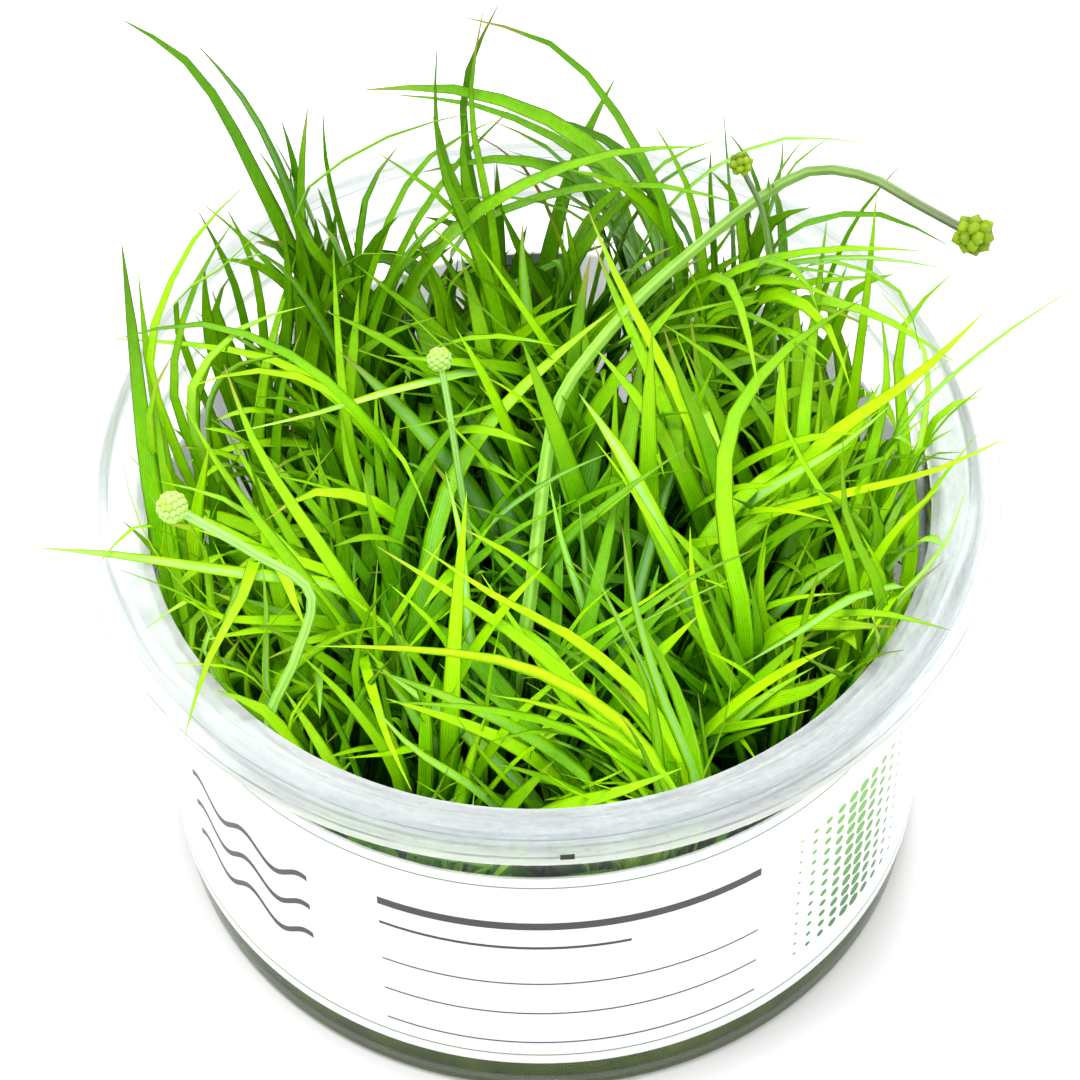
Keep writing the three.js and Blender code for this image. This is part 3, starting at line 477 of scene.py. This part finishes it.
def leaf_from(rings, tip):
    """The middle line, directions and widths of one leaf, from its solid's three-cornered rings."""
    middles, sides, uppers, widths = [], [], [], []
    for i, ring in enumerate(rings):
        spans = [np.linalg.norm(ring[a] - ring[b]) for a, b in ((0, 1), (1, 2), (2, 0))]
        left, right, ridge = (ring[k] for k in np.roll(np.arange(3), -int(np.argmax(spans))))
        middle = (left + right) / 2
        beyond = rings[i + 1] if i + 1 < len(rings) else [tip]
        upper = ridge - middle
        side = right - left
        if np.dot(side, np.cross(upper, np.mean(beyond, axis=0) - middle)) < 0:
            side = -side
        middles.append(middle)
        sides.append(side / np.linalg.norm(side))
        uppers.append(upper / np.linalg.norm(upper))
        widths.append(np.linalg.norm(side))
    middles[0] = np.mean(rings[0], axis=0)
    widths[0] = widths[1] * FOOT_WIDTH_SHARE
    sides[0], uppers[0] = sides[1], uppers[1]
    middles.append(tip)
    sides.append(sides[-1])
    uppers.append(uppers[-1])
    widths.append(0)
    return np.array(middles), np.array(sides), np.array(uppers), np.array(widths)


def along_line(points, at):
    """Points of a smooth line through the given ones, at shares of its length."""
    steps = np.linalg.norm(np.diff(points, axis=0), axis=1)
    knots = np.concatenate([[0], np.cumsum(steps)])
    slopes = np.gradient(points, knots, axis=0)
    where = np.clip(at, 0, 1) * knots[-1]
    i = np.clip(np.searchsorted(knots, where, side="right") - 1, 0, len(steps) - 1)
    span = steps[i][:, None]
    t = ((where - knots[i]) / steps[i])[:, None]
    return ((2 * t**3 - 3 * t**2 + 1) * points[i] + (t**3 - 2 * t**2 + t) * span * slopes[i]
            + (3 * t**2 - 2 * t**3) * points[i + 1] + (t**3 - t**2) * span * slopes[i + 1])


def leaf_at(leaf, at):
    """A leaf's middle line, directions and widths at shares of its length."""
    middles, sides, uppers, widths = leaf
    knots = np.concatenate([[0], np.cumsum(np.linalg.norm(np.diff(middles, axis=0), axis=1))])
    where = at * knots[-1]

    def between(rows):
        return np.stack([np.interp(where, knots, column) for column in rows.T], axis=1)

    return along_line(middles, at), between(sides), between(uppers), np.interp(where, knots, widths)


def small_leaf(one, other, chance):
    """A narrower leaf that grows between two leaves of the same plant. One near the rim arches inwards."""
    share = chance.uniform(*SMALL_LEAF_SEATS)
    steps = np.linspace(0, 1, SMALL_LEAF_STEPS)
    at = steps * chance.uniform(*SMALL_LEAF_LENGTHS)
    (a, side_a, up_a, _), (b, side_b, up_b, _) = leaf_at(one, at), leaf_at(other, at)
    waves = np.sin(steps * math.pi * chance.uniform(*SWAY_WAVES))[:, None]
    sway = waves * chance.normal(0, SWAY, 3) * (MM, MM, 0)
    arch = (steps ** ARCH_GROWTH)[:, None] * chance.normal(0, ARCH, 3) * (MM, MM, 0)
    droop = (steps ** DROOP_GROWTH)[:, None] * (0, 0, -abs(chance.normal(0, DROOP)) * MM)
    lie = a * (1 - share) + b * share + sway
    if np.dot(lie[-1], arch[-1]) > 0 and np.hypot(*(lie + arch)[-1, :2]) > FAR_TIP:
        arch = -arch
    middles = held_in(lie + arch + droop)
    sides = side_a * (1 - share) + side_b * share + chance.normal(0, BLADE_TURN, 3)
    wide = chance.uniform(*SMALL_LEAF_WIDTHS) * MM
    widths = wide * np.minimum(1, SMALL_LEAF_FOOT + steps) * (1 - steps ** SMALL_LEAF_TAPER)
    return middles, sides, up_a * (1 - share) + up_b * share, widths


def held_in(middles):
    """A leaf's middle line kept inside the cup's wall, or lifted over the rim where it lies outside it."""
    inside = WALL_AT_BASE * MM + WALL_DRAFT * middles[:, 2] - WALL_ROOM
    spread = np.linalg.norm(middles[:, :2], axis=1)
    middles[:, :2] *= np.where(middles[:, 2] < LEDGE, np.minimum(1, inside / spread), 1)[:, None]
    lies_over = (middles[:, 2] >= LEDGE) & (spread > inside)
    middles[:, 2] = np.where(lies_over, np.maximum(middles[:, 2], OVER_RIM), middles[:, 2])
    return middles


def blade(leaf):
    """The corners of one leaf's skin, ring by ring, and its tip."""
    middles, sides, uppers, widths = leaf_at(leaf, rings_cut)
    along = np.gradient(middles, axis=0)
    along /= np.linalg.norm(along, axis=1)[:, None]
    sides = sides - along * np.sum(along * sides, axis=1)[:, None]
    sides /= np.linalg.norm(sides, axis=1)[:, None]
    flats = np.cross(along, sides)
    flats *= np.sign(np.sum(flats * uppers, axis=1))[:, None]
    half = np.maximum(widths * LEAF_FULLNESS / 2, LEAST_HALF_WIDTH)[:, None, None]
    corners = (middles[:, None] + half * LEAF_SECTION[None, :, :1] * sides[:, None]
               + half * LEAF_SECTION[None, :, 1:] * flats[:, None])
    return np.vstack([corners.reshape(-1, 3), leaf[0][-1:]])


def tube_faces(around, rings):
    """The faces of a tube of rings that is closed flat at its foot and to a point at its tip."""
    faces = [tuple(range(around))]
    for low in range(0, (rings - 1) * around, around):
        for a in range(around):
            b = (a + 1) % around
            faces.append((low + b, low + a, low + around + a, low + around + b))
    last = (rings - 1) * around
    return faces + [(last + (a + 1) % around, last + a, rings * around) for a in range(around)]


blade_faces = tube_faces(len(LEAF_SECTION), len(rings_cut))
blade_uv = [((across + 1) / 2, at) for at in rings_cut for across in LEAF_SECTION[:, 0]] + [(0.5, 1)]
crown_faces = tube_faces(CROWN_SIDES, len(CROWN_RINGS))
crown_uv = [(0.5, 0.03)] * (CROWN_SIDES * len(CROWN_RINGS) + 1)

# Leaf colours: lime, with painted shade that deepens the green at the back and down in the tuft, a painted
# sheen streak along a few, and pale at the sheath. Shares along a leaf run from 0 at its foot to 1 at its
# tip.
LEAF_SHINE = 0.14
LIMES = [(0.19, 0.62, 0.001, 1), (0.47, 0.98, 0.002, 1)]
# Painted shade: a deeper green on the leaves at the back of the tuft.
BACK_SHADE_GREEN = (0.05, 0.22, 0.001, 1)
BACK_SHADE_BEGINS = (4 * MM, 32 * MM)
BACK_TURN = -0.1
BACK_SHADE_SHARE = 0.88
DOME_DROP = 16
# Painted shade: leaves lower under the dome of the tuft darken to a shaded and then a deep green.
SHADED_GREEN = (0.12, 0.54, 0.001, 1)
SHADE_ENDS = (35 * MM, 50 * MM)
DEEP_SHADE_GREEN = (0.001, 0.06, 0.0005, 1)
DEEP_SHADE_ENDS = (25 * MM, 47 * MM)
# Painted highlight: a pale sheen streak along the middle of a few leaves.
PAINTED_SHEEN = (0.45, 0.80, 0.34, 1)
SHEATH = (0.42, 0.55, 0.20, 1)
DUSKY_TIP = (0.05, 0.12, 0.005, 1)
AGED_TIP = (0.42, 0.27, 0.06, 1)
WITHERED = (0.26, 0.11, 0.02, 1)

leaf_skin, shader, node, maths, mixed, ranged, into = finish_of("leaf_skin", 0.34)
shader.inputs["Specular IOR Level"].default_value = LEAF_SHINE
place = node("TexCoord").outputs["Object"]
apart = node("SeparateXYZ", {"Vector": place}).outputs
own = node("Attribute", attribute_name="leaf_tone").outputs
tone = node("SeparateColor", {"Color": own["Color"]}).outputs
strip = node("SeparateXYZ", {"Vector": node("UVMap", uv_map="blade").outputs["UV"]}).outputs
lime = mixed(ranged(tone["Red"], 0, 0.85), *LIMES)
# Painted shade: the leaves turn a deeper green towards the back of the tuft.
to_back = maths("ADD", maths("MULTIPLY", apart["X"], BACK_TURN), apart["Y"])
lime = mixed(ranged(to_back, *BACK_SHADE_BEGINS, 0, BACK_SHADE_SHARE), lime, BACK_SHADE_GREEN)
# Painted shade: the lower a place lies under the dome of the tuft, the darker its green.
dome = maths("MULTIPLY", maths("POWER", from_axis(node, apart), 2), DOME_DROP)
under_dome = maths("ADD", apart["Z"], dome)
shaded = mixed(ranged(under_dome, *SHADE_ENDS), SHADED_GREEN, lime)
deep_shade = mixed(ranged(under_dome, *DEEP_SHADE_ENDS), DEEP_SHADE_GREEN, shaded)
across = node("CombineXYZ", {"X": strip["X"]}).outputs[0]
veins = node("TexWave", {"Vector": across, "Scale": 2.2}, wave_profile="SIN").outputs["Fac"]
veined = mixed(1, deep_shade, ranged(veins, 0, 1, 0.84, 1.06), "MULTIPLY")
netted = node("TexVoronoi", {"Vector": place, "Scale": 1900}).outputs["Distance"]
netted = mixed(0.3, veined, ranged(netted, 0, 0.7, 0.35, 0.7), "OVERLAY")
mottle = node("TexNoise", {"Vector": place, "Scale": 300, "Detail": 3}).outputs["Fac"]
mottle_and_sheen = mixed(0.3, netted, mottle, "OVERLAY")
# Painted highlight: a pale sheen streak along the middle of the leaf, as strong as its tone's alpha.
channel = ranged(maths("ABSOLUTE", maths("SUBTRACT", strip["X"], 0.5)), 0.1, 0.3, 1, 0)
sheen_streak = maths("MULTIPLY", channel, ranged(strip["Y"], 0.35, 0.6))
mottle_and_sheen = mixed(maths("MULTIPLY", sheen_streak, own["Alpha"]), mottle_and_sheen, PAINTED_SHEEN)
sheathed = mixed(ranged(strip["Y"], 0.04, 0.16, 0.7, 0), mottle_and_sheen, SHEATH)
dusk = maths("MULTIPLY", maths("SUBTRACT", 1, tone["Red"]), ranged(strip["Y"], 0.5, 1, 0, 0.9))
sheathed = mixed(dusk, sheathed, DUSKY_TIP)
tip_age = maths("MULTIPLY", ranged(strip["Y"], 0.9, 1), tone["Green"])
aged = mixed(tip_age, sheathed, AGED_TIP)
withered = maths("MULTIPLY", tone["Blue"], ranged(strip["Y"], 0.68, 0.85))
into("Base Color", mixed(withered, aged, WITHERED))
ribbed = node("Bump", {"Height": veins, "Strength": 0.35, "Distance": 0.06 * MM})
into("Normal", ribbed.outputs["Normal"])
into("Roughness", ranged(mottle, 0.3, 0.7, 0.24, 0.40))

plant_names = sorted(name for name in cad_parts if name.startswith("plant_"))
for index, name in enumerate(plant_names):
    chance = np.random.RandomState(FIRST_SEED + index)
    grown, crown_at = leaves_on(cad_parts[name])
    grown.sort(key=lambda leaf: math.atan2(*(leaf[0][2] - leaf[0][0])[[1, 0]]))
    between = [small_leaf(leaf, grown[(i + 1) % len(grown)], chance)
               for i, leaf in enumerate(grown) for _ in range(SMALL_LEAVES_BETWEEN)]
    corners, faces, uv, tones = [], [], [], []
    for leaf in grown + between:
        browned = float(np.linalg.norm(leaf[0][-1] - BROWN_TIP) < BROWN_TIP_REACH)
        from_decay = np.linalg.norm(leaf[0] - DECAY, axis=1).min()
        browned = max(browned, DECAY_SHARE * max(0, 1 - from_decay / DECAY_REACH) * chance.uniform())
        faces += [tuple(len(uv) + corner for corner in face) for face in blade_faces]
        corners.append(blade(leaf))
        uv += blade_uv
        # Painted highlight: how strong this leaf's sheen streak is.
        pale = max(0, chance.uniform(*SHEEN_CHANCE))
        tones += [(chance.beta(*LIGHTNESS), chance.uniform() ** TIP_AGE_POWER, browned, pale)] * len(blade_uv)
    turns = np.arange(CROWN_SIDES) * 2 * math.pi / CROWN_SIDES
    crown = [(crown_at.x + r * MM * math.cos(t), crown_at.y + r * MM * math.sin(t), z * MM)
             for r, z in CROWN_RINGS for t in turns]
    faces += [tuple(len(uv) + corner for corner in face) for face in crown_faces]
    corners.append(np.array(crown + [tuple(crown_at)]))
    uv += crown_uv
    tones += [CROWN_TONE] * len(crown_uv)
    mesh = bpy.data.meshes.new(f"leaves_{index + 1:02d}")
    mesh.from_pydata(np.vstack(corners).tolist(), [], faces)
    mesh.uv_layers.new(name="blade").data.foreach_set(
        "uv", [value for loop in mesh.loops for value in uv[loop.vertex_index]])
    mesh.color_attributes.new("leaf_tone", "FLOAT_COLOR", "POINT").data.foreach_set("color", np.ravel(tones))
    mesh.materials.append(leaf_skin)
    mesh.shade_smooth()
    plant = bpy.data.objects.new(mesh.name, mesh)
    bpy.context.collection.objects.link(plant)
    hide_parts(name)
    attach(plant, "root")


# Flower stalks: thin ribbed stems with no leaves on them, which come up between the crowns and hold the
# heads clear of the tuft. They narrow towards the head. Each has its widths at foot and top, in mm.
STALK_CORNERS = 5
STALK_WIDTHS = {"long": (1.5, 0.85), "left": (1.05, 0.8), "middle": (0.85, 0.6), "back": (0.8, 0.5)}
STALK_STEPS = 40
STALK_AGES = {"long": "ripe", "left": "young", "middle": "young", "back": "ripe"}
STALK_SHINE = 0.3
STALK_GREEN = (0.32, 0.66, 0.07, 1)
STALK_ENDS = {"ripe": (0.15, 0.18, 0.10, 1), "young": (0.38, 0.70, 0.17, 1)}

stalk_skins = {}
for age, end_tone in STALK_ENDS.items():
    skin, shader, node, maths, mixed, ranged, into = finish_of(f"stalk_{age}", 0.36)
    shader.inputs["Specular IOR Level"].default_value = STALK_SHINE
    place = node("TexCoord").outputs["Object"]
    strip = node("SeparateXYZ", {"Vector": node("UVMap", uv_map="stem").outputs["UV"]}).outputs
    flecks = node("TexNoise", {"Vector": place, "Scale": 500, "Detail": 3}).outputs["Fac"]
    around = node("CombineXYZ", {"X": strip["Y"]}).outputs[0]
    ribs = node("TexWave", {"Vector": around, "Scale": 1.6}).outputs["Fac"]
    fresh = mixed(ranged(strip["X"], 0.55, 0.98), STALK_GREEN, end_tone)
    ribbed = mixed(1, fresh, ranged(ribs, 0, 1, 0.8, 1.1), "MULTIPLY")
    into("Base Color", mixed(0.25, ribbed, flecks, "OVERLAY"))
    raised_ribs = node("Bump", {"Height": ribs, "Strength": 0.6, "Distance": 0.1 * MM})
    into("Normal", raised_ribs.outputs["Normal"])
    stalk_skins[age] = skin


def stem_line(solid, head):
    """The middles of a stalk solid's rings, from its foot to the end under its head."""
    work = bmesh.new()
    work.from_mesh(solid.data)
    bmesh.ops.remove_doubles(work, verts=work.verts, dist=SAME_CORNER)
    ring = set(sorted(work.verts, key=lambda corner: (corner.co - head).length)[:STALK_CORNERS])
    seen, middles = set(), []
    while ring:
        middles.append(np.mean([corner.co for corner in ring], axis=0))
        seen |= ring
        ring = {edge.other_vert(corner) for corner in ring for edge in corner.link_edges} - seen
    work.free()
    return np.array(middles[::-1])


for flower, (foot_width, top_width) in STALK_WIDTHS.items():
    box_low, box_high = (Vector(side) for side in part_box(f"flower_head_{flower}"))
    head = (box_low + box_high) / 2
    line = stem_line(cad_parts[f"flower_stalk_{flower}"], head)
    line = along_line(np.vstack([line, head]), np.linspace(0, 1, STALK_STEPS))
    bpy.ops.object.select_all(action="DESELECT")
    bpy.ops.curve.primitive_nurbs_path_add()
    stem = bpy.context.object
    stem.name = stem.data.name = f"stem_{flower}"
    spline = stem.data.splines[0]
    spline.type = "POLY"
    spline.points.add(STALK_STEPS - len(spline.points))
    for i, point in enumerate(spline.points):
        share = i / (STALK_STEPS - 1)
        point.co = (*line[i], 1)
        point.radius = (foot_width * (1 - share) + top_width * share) / 2
    stem.data.bevel_depth = MM
    stem.data.bevel_resolution = 2
    stem.data.use_fill_caps = True
    bpy.ops.object.convert(target="MESH")
    stem = bpy.context.object
    stem.data.uv_layers[0].name = "stem"
    stem.data.materials.clear()
    stem.data.materials.append(stalk_skins[STALK_AGES[flower]])
    bpy.ops.object.shade_smooth()
    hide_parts(f"flower_stalk_{flower}")
    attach(stem, "root")


# Flower heads: buttons of many tiny florets packed in spirals, each under a pointed bract. The young ones
# are pale and nearly smooth, and the ripe ones olive and knobbly.
HEADS = {"long": ("ripe", 22), "left": ("young", 60), "middle": ("young", 48), "back": ("ripe", 18)}
BRACT_TINTS = {
    "ripe": [(0.04, 0.10, 0.001, 1), (0.21, 0.34, 0.001, 1)],
    "young": [(0.38, 0.70, 0.03, 1), (0.50, 0.78, 0.24, 1)],
}
BRACT_EDGE = (0.66, 0.80, 0.12, 1)
BRACT_SHINE = 0.15

# Shares of a head's radius, or of a bract's width, but for the golden turn between one bract and the next.
GOLDEN_TURN = math.pi * (3 - math.sqrt(5))
BUTTON_SHARE = 0.78
BRACT_LENGTHS = {"ripe": 1.0, "young": 0.44}
BRACT_SEATS = {"ripe": 0.62, "young": 0.8}
BRACT_COVER = 3.3
BRACT_WIDE, BRACT_THICK, BRACT_LONG = 0.62, 0.5, 0.75
BRACT_POINT = 0.45
BRACT_LEAN = 0.5
HEAD_COVERED = 1.9
BRACT_SPREAD = (0.85, 1.1)
BRACT_SHADES = (0.35, 1)
EDGE_FROM = 0.4
# Painted shade: the button under the bracts takes the darker end of the tints, which on a ripe head darkens
# the gaps between bracts.
BUTTON_SHADE_TONE = (0.1, 0, 0, 1)

bract_skins = {}
for age, tints in BRACT_TINTS.items():
    skin, shader, node, maths, mixed, ranged, into = finish_of(f"bract_{age}", 0.5)
    shader.inputs["Specular IOR Level"].default_value = BRACT_SHINE
    place = node("TexCoord").outputs["Object"]
    own = node("Attribute", attribute_name="bract_tone").outputs["Color"]
    tone = node("SeparateColor", {"Color": own}).outputs
    papery = node("TexNoise", {"Vector": place, "Scale": 2600, "Detail": 3}).outputs["Fac"]
    body = mixed(tone["Red"], *tints)
    edged = mixed(maths("MULTIPLY", tone["Green"], 0.3), body, BRACT_EDGE)
    into("Base Color", mixed(0.35, edged, papery, "OVERLAY"))
    grain = node("Bump", {"Height": papery, "Strength": 0.4, "Distance": 0.05 * MM})
    into("Normal", grain.outputs["Normal"])
    bract_skins[age] = skin

for flower, (age, count) in HEADS.items():
    low, high = (Vector(side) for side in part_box(f"flower_head_{flower}"))
    centre, size = (low + high) / 2, (high - low).x / 2
    line = stem_line(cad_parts[f"flower_stalk_{flower}"], centre)
    to_head = (centre - Vector(line[-1])).normalized().to_track_quat("Z", "Y").to_matrix()
    chance = np.random.RandomState(count)
    bpy.ops.object.select_all(action="DESELECT")
    bpy.ops.mesh.primitive_ico_sphere_add(subdivisions=3, radius=size * BUTTON_SHARE, location=centre)
    button = bpy.context.object
    button.name = f"button_{flower}"
    bpy.ops.object.transform_apply(location=True, rotation=False, scale=False)
    bract = bmesh.new()
    bmesh.ops.create_icosphere(bract, subdivisions=1, radius=1)
    shape = np.array([corner.co for corner in bract.verts])
    bract_faces = [[corner.index for corner in face.verts] for face in bract.faces]
    bract.free()
    corners = [np.array([corner.co for corner in button.data.vertices])]
    faces = [tuple(face.vertices) for face in button.data.polygons]
    # The button gets the painted shade of the gaps between bracts.
    tones = [BUTTON_SHADE_TONE] * len(button.data.vertices)
    wide = BRACT_COVER * size / math.sqrt(count)
    tall = wide * BRACT_LONG * BRACT_LENGTHS[age]
    for i in range(count):
        rise = 1 - HEAD_COVERED * (i + 0.5) / count
        turn = i * GOLDEN_TURN
        spread = math.sqrt(1 - rise * rise)
        outward = Vector((spread * math.cos(turn), spread * math.sin(turn), rise))
        lean = (outward + Vector((0, 0, BRACT_LEAN * (1 - abs(rise))))).normalized()
        stand = to_head @ lean.to_track_quat("Z", "Y").to_matrix()
        grown = shape * (wide * BRACT_WIDE, wide * BRACT_THICK, tall * chance.uniform(*BRACT_SPREAD))
        grown[:, :2] *= np.where(shape[:, 2:] > 0.5, BRACT_POINT, 1)
        seat = centre + to_head @ outward * (size * BRACT_SEATS[age])
        first = len(tones)
        corners.append(grown @ np.array(stand).T + np.array(seat))
        faces += [tuple(first + corner for corner in face) for face in bract_faces]
        shade = chance.uniform(*BRACT_SHADES)
        tones += [(shade, max(0, rim - EDGE_FROM), 0, 1) for rim in shape[:, 2]]
    mesh = bpy.data.meshes.new(f"florets_{flower}")
    mesh.from_pydata(np.vstack(corners).tolist(), [], faces)
    mesh.color_attributes.new("bract_tone", "FLOAT_COLOR", "POINT").data.foreach_set("color", np.ravel(tones))
    button.data = mesh
    mesh.materials.append(bract_skins[age])
    mesh.shade_smooth()
    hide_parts(f"flower_head_{flower}")
    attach(button, "root")


# Floor and light: a plain pale floor in a white room, a soft lamp over it and a second one behind the cup.
# Both lamps are discs that face the middle of the tuft. Each has its place, its size and its power.
FLOOR_SIZE = 6
FLOOR_TINT = (0.93, 0.93, 0.93)
ROOM_BRIGHTNESS = 1.42
LAMPS = {"key_lamp": ((-0.2, -0.2, 1), 0.3, 3), "back_lamp": ((0.1, 0.5, 0.9), 0.3, 4)}
LIT_POINT = Vector((0, 0, 40)) * MM

bpy.ops.object.select_all(action="DESELECT")
bpy.ops.mesh.primitive_plane_add(size=FLOOR_SIZE)
floor = bpy.context.object
floor.name = "floor"
floor.data.materials.append(finish_of("pale_floor", 0.9, FLOOR_TINT)[0])

world = bpy.data.worlds.new("white_room")
world.use_nodes = True
world.node_tree.nodes["Background"].inputs["Color"].default_value = (1, 1, 1, 1)
world.node_tree.nodes["Background"].inputs["Strength"].default_value = ROOM_BRIGHTNESS
bpy.context.scene.world = world
for name, (spot, size, power) in LAMPS.items():
    bpy.ops.object.light_add(type="AREA", location=spot)
    lamp = bpy.context.object
    lamp.name = name
    lamp.data.shape = "DISK"
    lamp.data.size = size
    lamp.data.energy = power
    lamp.rotation_euler = (LIT_POINT - Vector(spot)).to_track_quat("-Z", "Y").to_euler()
bpy.context.scene.view_settings.view_transform = "Standard"
